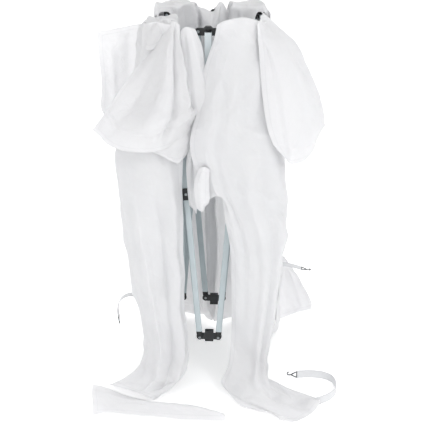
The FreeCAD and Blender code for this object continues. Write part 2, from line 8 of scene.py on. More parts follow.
# %% Load the frame
import bmesh
import bpy
import json
import math
import numpy as np
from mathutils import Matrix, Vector

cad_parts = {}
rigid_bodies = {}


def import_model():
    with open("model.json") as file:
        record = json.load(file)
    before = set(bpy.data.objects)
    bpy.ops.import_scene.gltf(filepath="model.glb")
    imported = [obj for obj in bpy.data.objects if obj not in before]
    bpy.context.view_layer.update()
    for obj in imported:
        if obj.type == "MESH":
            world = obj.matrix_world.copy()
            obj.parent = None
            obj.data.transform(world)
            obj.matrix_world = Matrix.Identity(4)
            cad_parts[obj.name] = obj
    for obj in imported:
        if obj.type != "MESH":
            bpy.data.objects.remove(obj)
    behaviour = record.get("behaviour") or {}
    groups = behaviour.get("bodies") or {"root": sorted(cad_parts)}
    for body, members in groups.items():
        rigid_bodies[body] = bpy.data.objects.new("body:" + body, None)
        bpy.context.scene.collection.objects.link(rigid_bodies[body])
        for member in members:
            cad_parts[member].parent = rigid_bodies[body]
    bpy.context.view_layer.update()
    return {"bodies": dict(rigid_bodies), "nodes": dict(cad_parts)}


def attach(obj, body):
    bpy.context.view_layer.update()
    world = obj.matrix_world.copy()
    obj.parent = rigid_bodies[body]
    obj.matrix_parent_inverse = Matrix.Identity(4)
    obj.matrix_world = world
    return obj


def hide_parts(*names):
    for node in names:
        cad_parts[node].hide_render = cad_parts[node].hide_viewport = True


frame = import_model()

# %% [markdown]
# ## Camera
# A portrait lens from about four metres keeps the bundle's verticals nearly parallel, and looking
# down by twenty-one degrees shows the tops of the hoods and the cloth lying on the floor. The
# direction is built from a turn and a dip, so each can be changed by itself.

# %% Camera
LENS_MM, SENSOR_MM = 78.8, 36.0
CAMERA_PLACE = (0.237, -3.8455, 2.2155)   # metres
TURN, DIP = 0.06, 0.3704                  # radians


def aim(turn, dip):
    """Unit vector that looks along +Y, turned to the left about Z and dipped below level."""
    return Vector((-math.sin(turn) * math.cos(dip), math.cos(turn) * math.cos(dip), -math.sin(dip)))


camera_data = bpy.data.cameras.new("camera")
camera_data.lens = LENS_MM
camera_data.sensor_width = SENSOR_MM
camera = bpy.data.objects.new("camera", camera_data)
camera.location = CAMERA_PLACE
camera.rotation_euler = aim(TURN, DIP).to_track_quat("-Z", "Y").to_euler()
bpy.context.collection.objects.link(camera)
bpy.context.scene.camera = camera
print("camera at", [round(value, 2) for value in camera.location])

# %% [markdown]
# ## Colours and nodes
# A finish is a small graph of shader nodes. Two helpers keep the graphs readable: one turns a
# colour as painters write it, in hex, into the linear light that a shader computes with, and one
# adds any node together with its settings and links.

# %% Helpers for materials
def colour(code):
    """Linear colour from a hex colour: below 0.04 a straight line, above it a power of 2.4."""
    values = np.array([int(code[i:i + 2], 16) / 255 for i in (1, 3, 5)])
    linear = np.where(values <= 0.04045, values / 12.92, ((values + 0.055) / 1.055) ** 2.4)
    return (*linear.tolist(), 1.0)


def add(tree, kind, inputs=None, **settings):
    """Add a node; an input given as a socket is linked, and any other value is set."""
    node = tree.nodes.new("ShaderNode" + kind)
    for name, value in settings.items():
        setattr(node, name, value)
    for name, value in (inputs or {}).items():
        if isinstance(value, bpy.types.NodeSocket):
            tree.links.new(value, node.inputs[name])
        else:
            node.inputs[name].default_value = value
    return node


def finish_of(name):
    """A new material with its shader, as (material, node tree, shader)."""
    material = bpy.data.materials.new(name)
    material.use_nodes = True
    tree = material.node_tree
    return material, tree, tree.nodes["Principled BSDF"]


print("mid grey in linear light", [round(value, 3) for value in colour("#808080")])

# %% [markdown]
# ## Powder-coated steel tube
# Legs and scissor bars are steel tube with a pale grey powder coat. Baked powder flows into a very
# shallow orange peel, a few millimetres from dimple to dimple, and handling leaves it slightly
# uneven in gloss. Both come from noise on the object's own coordinates, so they stay on the tube.

# %% Powder-coated steel tube
HIGH, LOW, CROSSING = 1.555, 0.2072, 0.8811    # heights of the scissor pivots, in metres
OUTER, INNER, MIDDLE = 0.148, 0.041, 0.0945    # how far they are from the middle plane
PIVOTS = ((OUTER, HIGH), (OUTER, LOW), (INNER, HIGH), (INNER, LOW), (MIDDLE, CROSSING))
HEAD_RADIUS = 0.0058                           # of the rivet and bolt heads
PLUG_TOP = 0.236                               # below it, bars' plugs and legs' ends are black
CLIP_OUTSIDE, CLIP_INSIDE = 0.20605, 0.19395   # clips stand proud of a bar's two faces
NYLON_BLACK, ZINC_GREY = "#101416", "#8f9496"


def pivot_distance(tree, place):
    """Distance to the nearest pivot's axis: all pivots repeat at an |x| or |y| and a height."""
    split = add(tree, "SeparateXYZ", {0: place})
    level = split.outputs[2]
    nearest = None
    for across, height in PIVOTS:
        for side in (0, 1):
            wide = add(tree, "Math", {0: split.outputs[side]}, operation="ABSOLUTE").outputs[0]
            dx = add(tree, "Math", {0: wide, 1: across}, operation="SUBTRACT").outputs[0]
            dz = add(tree, "Math", {0: level, 1: height}, operation="SUBTRACT").outputs[0]
            flat = add(tree, "CombineXYZ", {0: dx, 1: dz}).outputs[0]
            length = add(tree, "VectorMath", {0: flat}, operation="LENGTH").outputs["Value"]
            nearest = length if nearest is None else add(
                tree, "Math", {0: nearest, 1: length}, operation="MINIMUM").outputs[0]
    return nearest


def tube_finish(name, light, dark, clips):
    """Powder coat; black nylon clips and end plugs and zinc rivet heads are told by their place."""
    material, tree, shader = finish_of(name)
    place = add(tree, "TexCoord").outputs["Object"]
    patchy = add(tree, "TexNoise", {"Vector": place, "Scale": 9.0, "Detail": 3.0}).outputs["Fac"]
    peel = add(tree, "TexNoise", {"Vector": place, "Scale": 260.0, "Detail": 1.0}).outputs["Fac"]
    body = add(tree, "Mix", {0: patchy, 6: colour(light), 7: colour(dark)},
               data_type="RGBA").outputs[2]
    split = add(tree, "SeparateXYZ", {0: place})
    black = add(tree, "Math", {0: split.outputs[2], 1: PLUG_TOP}, operation="LESS_THAN").outputs[0]
    if clips:
        wide = [add(tree, "Math", {0: split.outputs[i]}, operation="ABSOLUTE").outputs[0]
                for i in (0, 1)]
        outer = add(tree, "Math", {0: wide[0], 1: wide[1]}, operation="MAXIMUM").outputs[0]
        proud = add(tree, "Math", {0: outer, 1: CLIP_OUTSIDE},
                    operation="GREATER_THAN").outputs[0]
        between = add(tree, "Math", {0: outer, 1: CLIP_INSIDE},
                      operation="LESS_THAN").outputs[0]
        for part in (proud, between):
            black = add(tree, "Math", {0: black, 1: part}, operation="MAXIMUM").outputs[0]
    steel = add(tree, "Math", {0: pivot_distance(tree, place), 1: HEAD_RADIUS},
                operation="LESS_THAN").outputs[0]
    clipped = add(tree, "Mix", {0: black, 6: body, 7: colour(NYLON_BLACK)},
                  data_type="RGBA").outputs[2]
    riveted = add(tree, "Mix", {0: steel, 6: clipped, 7: colour(ZINC_GREY)},
                  data_type="RGBA").outputs[2]
    tree.links.new(riveted, shader.inputs["Base Color"])
    rough = add(tree, "MapRange", {"Value": patchy, "To Min": 0.36, "To Max": 0.52})
    tree.links.new(rough.outputs[0], shader.inputs["Roughness"])
    tree.links.new(steel, shader.inputs["Metallic"])
    bump = add(tree, "Bump", {"Height": peel, "Strength": 0.25, "Distance": 0.0004})
    tree.links.new(bump.outputs[0], shader.inputs["Normal"])
    return material


# Painted shade: the bars get darker copies of the one powder coat than the legs, the plain bars
# darkest, for the shade inside the folded bundle.
powder_coat_outer_bar_painted_shade = tube_finish("powder_coated_steel_clipped_bar_painted_shade", "#c3cdd1", "#aab6ba", True)
powder_coat_bar_painted_shade = tube_finish("powder_coated_steel_bar_painted_shade", "#bcc7cb", "#a2afb3", False)
powder_coat_leg = tube_finish("powder_coated_steel_leg", "#ccd4d7", "#b4bec2", False)
print("tube finishes ready")

# %% [markdown]
# ## Moulded nylon and zinc-plated steel
# Brackets, sliding collars, mid joints, feet and ridge caps are glass-filled nylon, moulded black.
# The mould's spark-eroded texture leaves a grain of about half a millimetre; it is drawn here at
# one millimetre so that it still shows. The bolts through them and the strap hooks are zinc-plated
# steel, a blue-grey metal with soft, cloudy reflections.

# %% Moulded nylon and zinc-plated steel
def nylon_finish(name, with_bolts):
    """Black moulded nylon; bolt heads, found by their distance to a pivot, turn to zinc."""
    material, tree, shader = finish_of(name)
    place = add(tree, "TexCoord").outputs["Object"]
    grain = add(tree, "TexNoise", {"Vector": place, "Scale": 1000.0, "Detail": 2.0}).outputs["Fac"]
    worn = add(tree, "TexNoise", {"Vector": place, "Scale": 30.0, "Detail": 4.0}).outputs["Fac"]
    body = add(tree, "Mix", {0: worn, 6: colour("#0b0e10"), 7: colour("#1b2023")},
               data_type="RGBA").outputs[2]
    if with_bolts:
        steel = add(tree, "Math", {0: pivot_distance(tree, place), 1: HEAD_RADIUS},
                    operation="LESS_THAN").outputs[0]
        body = add(tree, "Mix", {0: steel, 6: body, 7: colour(ZINC_GREY)},
                   data_type="RGBA").outputs[2]
        tree.links.new(steel, shader.inputs["Metallic"])
    tree.links.new(body, shader.inputs["Base Color"])
    shader.inputs["Roughness"].default_value = 0.42
    bump = add(tree, "Bump", {"Height": grain, "Strength": 0.4, "Distance": 0.0002})
    tree.links.new(bump.outputs[0], shader.inputs["Normal"])
    return material


def zinc_finish():
    """Dull zinc plate: cloudy roughness over a dark blue-grey metal."""
    material, tree, shader = finish_of("zinc_plated_steel")
    place = add(tree, "TexCoord").outputs["Object"]
    cloud = add(tree, "TexNoise", {"Vector": place, "Scale": 120.0, "Detail": 5.0}).outputs["Fac"]
    body = add(tree, "Mix", {0: cloud, 6: colour("#3a3e42"), 7: colour("#5c6165")},
               data_type="RGBA").outputs[2]
    tree.links.new(body, shader.inputs["Base Color"])
    rough = add(tree, "MapRange", {"Value": cloud, "To Min": 0.28, "To Max": 0.5})
    tree.links.new(rough.outputs[0], shader.inputs["Roughness"])
    shader.inputs["Metallic"].default_value = 1.0
    return material


moulded_nylon = nylon_finish("moulded_black_nylon", False)
bolted_nylon = nylon_finish("moulded_black_nylon_bolted", True)
zinc = zinc_finish()
finishes = {
    "outer_leg": powder_coat_leg, "inner_leg": powder_coat_leg, "ridge_post": powder_coat_leg,
    "bar_start_high": powder_coat_outer_bar_painted_shade, "bar_end_high": powder_coat_outer_bar_painted_shade,
    "bar_start_low": powder_coat_bar_painted_shade, "bar_end_low": powder_coat_bar_painted_shade,
    "corner_bracket": bolted_nylon, "slider": bolted_nylon, "mid_joint": bolted_nylon,
    "foot": moulded_nylon, "ridge_cap": moulded_nylon, "strap_hook": zinc,
}
counts = {}
for name, item in frame["nodes"].items():
    for start, material in finishes.items():
        if name.startswith(start):
            if not item.material_slots:
                item.data.materials.append(material)
            for place in item.material_slots:
                place.link = "OBJECT"
                place.material = material
            counts[material.name] = counts.get(material.name, 0) + 1
print(counts)

# %% [markdown]
# ## Coated polyester cloth
# The cover is white polyester with a thin polyurethane coat. Up close it is a plain weave of about
# half a millimetre a thread, drawn here at 4 mm; further off one sees soft creases where it was
# packed, and a stitched hem. The weave and creases follow each piece's UV map, which is laid out in
# metres, and the hem's stitch line follows an attribute that holds the distance to the edge.

# %% Coated polyester cloth
STITCH_INSET, STITCH_HALF_WIDTH = 0.02, 0.0025   # metres from the edge, and to each side
TRANSLUCENT_SHARE = 0.35                         # of the light, the rest is reflected


def cloth_finish(name, light, dark):
    """White woven cloth: weave, packing creases and a stitch line beside the hem."""
    material, tree, shader = finish_of(name)
    flat = add(tree, "UVMap", uv_map="cut").outputs[0]
    edge = add(tree, "Attribute", attribute_name="hem", attribute_type="GEOMETRY").outputs["Fac"]
    large = add(tree, "TexNoise", {"Vector": flat, "Scale": 5.0, "Detail": 4.0}).outputs["Fac"]
    crease = add(tree, "TexNoise", {"Vector": flat, "Scale": 26.0, "Detail": 5.0,
                                    "Distortion": 1.2}).outputs["Fac"]
    weft = add(tree, "TexWave", {"Vector": flat, "Scale": 80.0}, bands_direction="X").outputs["Fac"]
    warp = add(tree, "TexWave", {"Vector": flat, "Scale": 80.0}, bands_direction="Y").outputs["Fac"]
    weave = add(tree, "Math", {0: weft, 1: warp}, operation="MULTIPLY").outputs[0]
    from_stitch = add(tree, "Math", {0: edge, 1: STITCH_INSET}, operation="SUBTRACT").outputs[0]
    near = add(tree, "Math", {0: from_stitch}, operation="ABSOLUTE").outputs[0]
    stitch = add(tree, "MapRange", {"Value": near, "From Max": STITCH_HALF_WIDTH,
                                    "To Min": 1.0, "To Max": 0.0}).outputs[0]
    body = add(tree, "Mix", {0: large, 6: colour(light), 7: colour(dark)},
               data_type="RGBA").outputs[2]
    faint = add(tree, "Math", {0: stitch, 1: 0.18}, operation="MULTIPLY").outputs[0]
    sewn = add(tree, "Mix", {0: faint, 6: body, 7: colour("#a9abb2")},
               data_type="RGBA").outputs[2]
    tree.links.new(sewn, shader.inputs["Base Color"])
    shader.inputs["Roughness"].default_value = 0.68
    shader.inputs["Sheen Weight"].default_value = 0.1
    shader.inputs["Specular IOR Level"].default_value = 0.3
    shader.inputs["Subsurface Weight"].default_value = 0.6
    shader.inputs["Subsurface Radius"].default_value = (1.0, 1.0, 1.0)
    shader.inputs["Subsurface Scale"].default_value = 0.004
    soft = add(tree, "Bump", {"Height": crease, "Strength": 0.6, "Distance": 0.006})
    fine = add(tree, "Bump", {"Height": weave, "Strength": 0.25, "Distance": 0.0004,
                              "Normal": soft.outputs[0]})
    sunk = add(tree, "Bump", {"Height": stitch, "Strength": 0.4, "Distance": 0.001,
                              "Normal": fine.outputs[0]}, invert=True)
    tree.links.new(sunk.outputs[0], shader.inputs["Normal"])
    # thin cloth lets light through: the share that does keeps its shaded side pale, not grey
    through = add(tree, "BsdfTranslucent", {"Color": colour("#ffffff"), "Normal": soft.outputs[0]})
    both = add(tree, "MixShader", {0: TRANSLUCENT_SHARE, 1: shader.outputs[0],
                                   2: through.outputs[0]})
    tree.links.new(both.outputs[0], tree.nodes["Material Output"].inputs["Surface"])
    return material


white_cloth = cloth_finish("coated_polyester_cloth", "#efeff0", "#e7e7ea")
print("cloth finish ready")

# %% [markdown]
# ## Cloth as a function of two parameters
# Hanging cloth is smooth along its threads and bends in long folds, so a piece is described as a
# tailor would pin it: a few rows of pins, from the top edge to the hem. A spline through the pins
# of each row, and then one through the rows, turns them into a surface; folds and creases are added
# along its normals. A cloth simulation could make the folds, but wouldn't land them where the
# cover really hangs, so only the crisp creases are left to chance, with a fixed seed.

# %% Splines and folds
def spline(points, count):
    """Catmull-Rom spline: between two pins a cubic whose slope at each is half the step from the
    pin before it to the pin after it. Works on whole rows at once, along the first axis."""
    points = np.asarray(points, float)
    ends = np.concatenate([2 * points[:1] - points[1:2], points, 2 * points[-1:] - points[-2:-1]])
    t = np.linspace(0, len(points) - 1, count)
    i = np.minimum(t.astype(int), len(points) - 2)
    t = (t - i).reshape((-1,) + (1,) * (points.ndim - 1))
    a, b, c, d = ends[i], ends[i + 1], ends[i + 2], ends[i + 3]
    return b + 0.5 * t * (c - a + t * (2 * a - 5 * b + 4 * c - d + t * (3 * (b - c) + d - a)))


def pinned(rows, across, down):
    """Surface through rows of pins, given in centimetres: spline each row, then spline the rows."""
    return spline([spline(row, across) for row in rows], down) / 100.0


def normals(grid):
    """Unit normals: the cross product of the steps across and down, over its length."""
    n = np.cross(np.gradient(grid, axis=1), np.gradient(grid, axis=0))
    return n / np.maximum(np.linalg.norm(n, axis=2, keepdims=True), 1e-9)


def smooth_step(t):
    """0 below 0, 1 above 1, and 3t2 - 2t3 between."""
    t = np.clip(t, 0, 1)
    return t * t * (3 - 2 * t)


def fold(u, v, top, bottom, width, height, start=0.0, end=1.0):
    """One long fold: a bell across u, whose middle runs from top to bottom, faded in and out."""
    middle = top + (bottom - top) * v
    fade = smooth_step((v - start) / 0.15) * smooth_step((end - v) / 0.15)
    return height * fade * np.exp(-((u - middle) / width) ** 2)


def lengths(grid):
    """Distance travelled along the cloth to each point: across its rows, and down its columns."""
    s = np.cumsum(np.linalg.norm(np.diff(grid, axis=1, prepend=grid[:, :1]), axis=2), axis=1)
    t = np.cumsum(np.linalg.norm(np.diff(grid, axis=0, prepend=grid[:1]), axis=2), axis=0)
    return s, t


def creases(s, t, seed, count, spacing, height, reach, slant=0.5):
    """Crisp creases of coated cloth: tents 1 - |x| with a slightly rounded ridge, each at a random
    place and slant, as wide as its spacing to each side and faded by a bell along its length."""
    dice = np.random.default_rng(seed)
    total = np.zeros_like(s)
    for _ in range(count):
        cs, ct = dice.uniform(0, 1, 2) * (s.max(), t.max())
        angle = dice.normal(0, slant)
        wide = spacing * dice.uniform(0.5, 1.5)
        x = ((s - cs) * math.cos(angle) + (t - ct) * math.sin(angle)) / wide
        along = (t - ct) * math.cos(angle) - (s - cs) * math.sin(angle)
        fade = np.exp(-(along / (reach * dice.uniform(0.5, 1.4))) ** 2)
        tent = np.maximum(0, 1.03 - np.sqrt(x * x + 0.003))
        total += dice.choice([-1.0, 1.0]) * dice.uniform(0.4, 1.0) * height * tent * fade
    return total


print("a spline through 0, 1 and 0:", spline([0, 1, 0], 5).tolist())

# %% [markdown]
# ## From a grid of points to a cloth piece
# A piece's mesh is its grid of points, joined by quads. With it go a UV map in metres, measured
# along the cloth so that its pattern isn't stretched, and the distance to each hemmed edge. The
# mesh is a bare sheet, and a modifier gives it a thickness, half to each side: a modelled inner
# face would double the work and could cut through the outer one in a tight fold.

# %% Making a sheet
CLOTH_THICKNESS = 0.0012   # metres: more than real cloth has, so that its edge shows
LOWEST = 0.0016            # the cloth's middle stays this high over the floor


def sheet_mesh(name, grid, hem_sides="b"):
    """Mesh of a grid of points, with its UV map in metres and its distance to the hemmed edges."""
    down, across = grid.shape[:2]
    index = np.arange(down * across).reshape(down, across)
    quads = np.stack([index[:-1, :-1], index[1:, :-1], index[1:, 1:], index[:-1, 1:]], -1)
    quads = quads.reshape(-1, 4)
    mesh = bpy.data.meshes.new(name)
    mesh.vertices.add(down * across)
    mesh.vertices.foreach_set("co", grid.reshape(-1).astype(np.float32))
    mesh.loops.add(quads.size)
    mesh.loops.foreach_set("vertex_index", quads.reshape(-1))
    mesh.polygons.add(len(quads))
    mesh.polygons.foreach_set("loop_start", np.arange(0, quads.size, 4))
    mesh.polygons.foreach_set("use_smooth", np.ones(len(quads), bool))
    mesh.update(calc_edges=True)
    steps_across = np.linalg.norm(np.diff(grid, axis=1), axis=2)
    steps_down = np.linalg.norm(np.diff(grid, axis=0), axis=2)
    s, t = lengths(grid)
    cut = np.stack([s - s[:, -1:] / 2, t], -1).reshape(-1, 2)
    layer = mesh.uv_layers.new(name="cut")
    layer.data.foreach_set("uv", cut[quads.reshape(-1)].reshape(-1).astype(np.float32))
    far = np.full((down, across), 9.0)
    for side, distance in (("b", t[-1:] - t), ("t", t), ("l", s), ("r", s[:, -1:] - s)):
        if side in hem_sides:
            far = np.minimum(far, distance)
    hem = mesh.attributes.new("hem", "FLOAT", "POINT")
    hem.data.foreach_set("value", far.reshape(-1).astype(np.float32))
    area = float((steps_across[:-1] * steps_down[:, :-1]).sum())
    return mesh, area


def hang(name, grid, body, hem_sides="b", thickness=CLOTH_THICKNESS, replaces=()):
    """A finished cloth piece: mesh, thickness, material and the body it rides on."""
    mesh, area = sheet_mesh(name, grid, hem_sides)
    item = bpy.data.objects.new(name, mesh)
    bpy.context.collection.objects.link(item)
    mesh.materials.append(white_cloth)
    wall = item.modifiers.new("thickness", "SOLIDIFY")
    wall.thickness = thickness
    wall.offset = 0.0
    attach(item, body)
    if replaces:
        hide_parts(*replaces)
    return item


def shaped(rows, across, down, seed, folds=(), crisp=1.0, band=None):
    """A pinned surface with its folds, creases at two scales, and a sewn groove above its hem.

    The band is the height of that groove, in metres of cloth; crisp scales the creases."""
    grid = pinned(rows, across, down)
    u, v = np.meshgrid(np.linspace(0, 1, across), np.linspace(0, 1, down))
    s, t = lengths(grid)
    area = float(s.max() * t.max())
    rise = creases(s, t, seed, int(6 + 26 * area), 0.085, 0.010 * crisp, 0.24)
    rise += creases(s, t, seed + 500, int(14 + 130 * area), 0.034, 0.0040 * crisp, 0.08, 1.1)
    for one in folds:
        rise = rise + fold(u, v, *one)
    if band:
        rise = rise - 0.004 * np.exp(-((t[-1:] - t - band) / 0.007) ** 2)
    grid = grid + normals(grid) * rise[..., None]
    grid[..., 2] = np.maximum(grid[..., 2], LOWEST)
    return grid


print("cloth is %.1f mm thick" % (CLOTH_THICKNESS * 1000))


# %% [markdown]
# ## The four corner drapes
# From each leg's top the cover falls to the floor in a loose corner: a face towards the front or
# back, a turn round the leg and a face along the side. Each row of pins below runs once round that
# turn, from the middle of the front or back to the middle of the side.

# %% Corner drapes
front_left_rows = [
    [(-12, -22, 158), (-15, -23, 159), (-20, -24, 160),
     (-24, -21, 159), (-25, -14, 158), (-24, -8, 157)],
    [(-10, -22, 146), (-15, -24, 147), (-21, -24, 148),
     (-26, -20, 147), (-27, -13, 146), (-25, -8, 145)],
    [(-9, -23, 125), (-15, -24, 125), (-22, -25, 124),
     (-29, -22, 123), (-30, -14, 123), (-27, -7, 123)],
    [(-10, -24, 108), (-19, -25, 107), (-28, -26, 107),
     (-37, -24, 106), (-39, -17, 106), (-34, -7, 106)],
    [(-11, -24, 82), (-17, -28, 82), (-26, -28, 82), (-34, -26, 82), (-38, -18, 82), (-33, -7, 82)],
    [(-10, -25, 46), (-15, -29, 46), (-22, -28, 46), (-29, -27, 46), (-33, -18, 46), (-29, -8, 46)],
    [(-9, -26, 22), (-13, -30, 21), (-19, -29, 20), (-25, -28, 20), (-29, -19, 20), (-27, -9, 20)],
    [(-9, -27, 12), (-14, -31, 11), (-20, -32, 10), (-26, -30, 9), (-30, -24, 9), (-28, -13, 9)],
    [(-11, -29, 6), (-15, -34, 6), (-21, -36, 6), (-28, -34, 5), (-35, -28, 4), (-33, -19, 2)],
    [(-15, -34, 4), (-19, -39, 5), (-24, -39, 5), (-31, -38, 5), (-39, -33, 4), (-38, -25, 1)],
    [(-20, -38, 3), (-24, -43, 3), (-29, -42, 4), (-34, -39, 4), (-41, -35, 3), (-44, -30, 1)],
]
front_right_rows = [
    [(4, -23, 159), (8, -24, 161), (14, -24, 162), (19, -24, 161), (22, -20, 160), (23, -12, 159)],
    [(2, -24, 152), (8, -26, 153), (14, -27, 153), (20, -26, 152), (24, -20, 152), (24, -10, 152)],
    [(-2, -26, 141), (5, -28, 142), (14, -29, 142), (21, -28, 142), (25, -21, 142), (25, -10, 142)],
    [(-4, -27, 125), (4, -30, 125), (12, -31, 125), (20, -29, 125), (26, -22, 125), (26, -9, 125)],
    [(-7, -28, 112), (1, -30, 112), (11, -31, 112), (21, -29, 112), (28, -22, 112), (27, -8, 112)],
    [(-4, -29, 100), (3, -31, 101), (11, -31, 101), (21, -29, 101), (31, -22, 100), (28, -8, 100)],
    [(0, -29, 89), (5, -31, 93), (12, -31, 94), (22, -29, 93), (32, -22, 92), (28, -8, 92)],
    [(5, -28, 93), (8, -30, 88), (14, -30, 86), (24, -29, 85), (33, -21, 84), (29, -8, 84)],
    [(8, -27, 76), (12, -28, 75), (18, -29, 75), (26, -28, 75), (34, -21, 75), (29, -8, 75)],
    [(10, -26, 58), (14, -28, 58), (20, -28, 58), (27, -27, 58), (32, -21, 58), (28, -9, 58)],
    [(10, -26, 32), (14, -27, 32), (19, -28, 32), (25, -27, 32), (30, -21, 32), (26, -10, 32)],
    [(9, -26, 12), (13, -27, 12), (18, -27, 12), (23, -26, 12), (27, -21, 12), (25, -11, 12)],
    [(6, -29, 4), (11, -32, 4), (17, -34, 4), (24, -33, 4), (29, -27, 3), (26, -16, 2)],
    [(9, -36, 3), (14, -41, 4), (22, -44, 4), (31, -42, 3), (37, -36, 3), (34, -26, 1)],
    [(14, -42, 2), (21, -47, 3), (30, -49, 3), (38, -45, 2), (43, -38, 2), (41, -32, 1)],
    [(22, -46, 1), (29, -51, 1), (36, -54, 1), (43, -49, 1), (48, -42, 1), (49, -38, 1)],
]
back_right_rows = [
    [(0, 23, 159), (6, 24, 155), (13, 24, 157), (21, 24, 158), (24, 19, 157), (24, 9, 157)],
    [(-4, 23, 148), (7, 25, 147), (17, 27, 147), (24, 25, 147), (26, 18, 147), (24, 9, 147)],
    [(-5, 23.5, 125), (6, 27, 125), (17, 29, 125), (26, 28, 125), (29, 20, 125), (26, 8, 125)],
    [(-5, 24, 70), (6, 28, 70), (17, 30, 70), (27, 29, 70), (31, 22, 70), (29, 6, 70)],
    [(-4, 25, 36), (7, 29, 36), (18, 31, 36), (28, 30, 36), (33, 23, 36), (30, 6, 36)],
    [(-4, 25.5, 22), (7, 30, 21), (18, 32, 20), (28, 31, 20), (32, 24, 20), (30, 7, 20)],
    [(-3, 26, 11), (8, 31, 9), (19, 34, 8), (27, 32, 8), (31, 25, 8), (29, 10, 8)],
    [(0, 28, 3), (9, 36, 2), (19, 43, 1), (27, 42, 1), (31, 36, 1), (30, 26, 1)],
]
back_left_rows = [
    [(-1, 24, 155), (-5, 24, 158), (-11, 24, 157), (-20, 24, 158), (-24, 19, 157), (-24, 9, 157)],
    [(0, 25, 148), (-12, 25, 148), (-24, 27, 148), (-31, 26, 147), (-32, 18, 147), (-28, 8, 147)],
    [(0, 25, 125), (-10, 27, 125), (-21, 28, 125), (-31, 27, 125), (-34, 20, 125), (-29, 7, 125)],
    [(0, 26, 100), (-9, 28, 100), (-20, 30, 100), (-30, 29, 100), (-34, 23, 100), (-28, 6, 100)],
    [(0, 26, 60), (-9, 28, 60), (-20, 29, 60), (-29, 28, 60), (-34, 22, 60), (-28, 7, 60)],
    [(0, 27, 28), (-9, 28, 28), (-19, 30, 28), (-29, 29, 28), (-34, 22, 28), (-28, 7, 28)],
    [(0, 28, 9), (-9, 31, 8), (-19, 34, 7), (-28, 33, 7), (-33, 24, 7), (-29, 9, 7)],
    [(-2, 29, 3), (-12, 37, 2), (-26, 48, 1), (-34, 45, 1), (-38, 37, 1), (-33, 28, 1)],
]
corner_drapes = {
    "front_left": (front_left_rows, 11, [(0.12, 0.16, 0.05, 0.016, 0.2, 1.0),
                                         (0.28, 0.30, 0.05, -0.022, 0.3, 0.95),
                                         (0.50, 0.40, 0.05, 0.030, 0.3, 1.0),
                                         (0.72, 0.66, 0.05, -0.014, 0.2, 0.9)]),
    "front_right": (front_right_rows, 12, [(0.15, 0.17, 0.012, -0.009, 0.30, 0.52),
                                           (0.22, 0.30, 0.05, 0.012, 0.1, 0.7),
                                           (0.45, 0.55, 0.05, -0.016, 0.3, 0.9),
                                           (0.58, 0.66, 0.05, 0.018, 0.2, 1.0),
                                           (0.80, 0.76, 0.06, 0.012, 0.1, 0.9)]),
    "back_right": (back_right_rows, 13, [(0.12, 0.10, 0.03, 0.016, 0.0, 1.0),
                                         (0.26, 0.30, 0.04, -0.018, 0.0, 1.0),
                                         (0.40, 0.42, 0.04, 0.018, 0.1, 1.0),
                                         (0.62, 0.66, 0.05, 0.016, 0.1, 1.0),
                                         (0.85, 0.82, 0.04, -0.012, 0.0, 1.0)]),
    "back_left": (back_left_rows, 14, [(0.10, 0.14, 0.03, 0.016, 0.0, 1.0),
                                       (0.28, 0.24, 0.04, -0.016, 0.0, 1.0),
                                       (0.42, 0.40, 0.04, 0.018, 0.1, 1.0),
                                       (0.60, 0.62, 0.05, 0.014, 0.1, 1.0),
                                       (0.82, 0.86, 0.04, -0.012, 0.0, 1.0)]),
}
for corner, (rows, seed, folds) in corner_drapes.items():
    grid = shaped(rows, 130, 210, seed, folds, 1.6)
    hang("drape_" + corner, grid, "leg_" + corner, "blr", replaces=["cover_" + corner])

# %% [markdown]
# ## The swag across the front-left leg
# Where the cover's roof panel slid down, it hangs from a corner as a swag: narrow at the top, wide
# at its hem, with a sewn band. It could be one drape with the corner below it, but that surface
# would have to double back on itself, so it is a piece of its own that lies over the drape.

# %% Front-left swag
swag_left_rows = [
    [(-17, -21, 160), (-15, -22, 160), (-14, -23, 160), (-13, -23, 160), (-11, -23, 159)],
    [(-21, -22, 150), (-18, -26, 151), (-15, -28, 151), (-13, -28, 151), (-11, -24, 150)],
    [(-30, -22, 139), (-24, -28, 139), (-17, -31, 139), (-12, -31, 139), (-8, -25, 139)],
    [(-38, -22, 128), (-30, -29, 128), (-21, -33, 128), (-12, -33, 128), (-5, -25, 129)],
    [(-43, -22, 121), (-35, -32, 121), (-24, -37, 121), (-13, -35, 122), (-4, -27, 125)],
    [(-47, -23, 116), (-38, -30, 111), (-28, -33, 110), (-17, -32, 111), (-7, -27, 118)],
]
left_folds = [(0.80, 0.70, 0.05, 0.026, 0.0, 1.0), (0.62, 0.50, 0.10, -0.020, 0.1, 0.95),
              (0.30, 0.20, 0.08, 0.012, 0.2, 1.0), (0.92, 0.88, 0.04, -0.014, 0.1, 0.9)]
grid = shaped(swag_left_rows, 120, 120, 21, left_folds, 0.7, 0.10)
hang("swag_front_left", grid, "leg_front_left", "blr")

# %% [markdown]
# ## The swag beside the front-right leg
# The swag on the other corner stands out to the side. Its rows run from the front round to the
# side of the leg, and it widens downwards until its hem points away from the bundle.

# %% Front-right swag
swag_right_rows = [
    [(19, -26, 160), (20, -22, 161), (20, -16, 161), (21, -8, 161), (20, 2, 160)],
    [(20, -28, 150), (24, -27, 151), (28, -22, 152), (31, -14, 152), (30, -3, 151)],
    [(21, -29, 138), (28, -30, 139), (36, -25, 140), (40, -15, 140), (37, -4, 139)],
    [(23, -30, 124), (31, -32, 125), (40, -27, 127), (45, -16, 127), (40, -4, 126)],
    [(26, -30, 114), (33, -32, 114), (41, -28, 116), (46, -17, 118), (40, -4, 117)],
    [(31, -28, 107), (34, -29, 105), (39, -26, 106), (43, -17, 110), (38, -5, 110)],
]
right_folds = [(0.20, 0.16, 0.06, 0.012, 0.1, 1.0), (0.40, 0.50, 0.07, -0.016, 0.2, 0.9),
               (0.62, 0.70, 0.06, 0.016, 0.2, 1.0), (0.84, 0.86, 0.05, -0.010, 0.1, 1.0)]
grid = shaped(swag_right_rows, 110, 110, 22, right_folds, 0.8, 0.08)
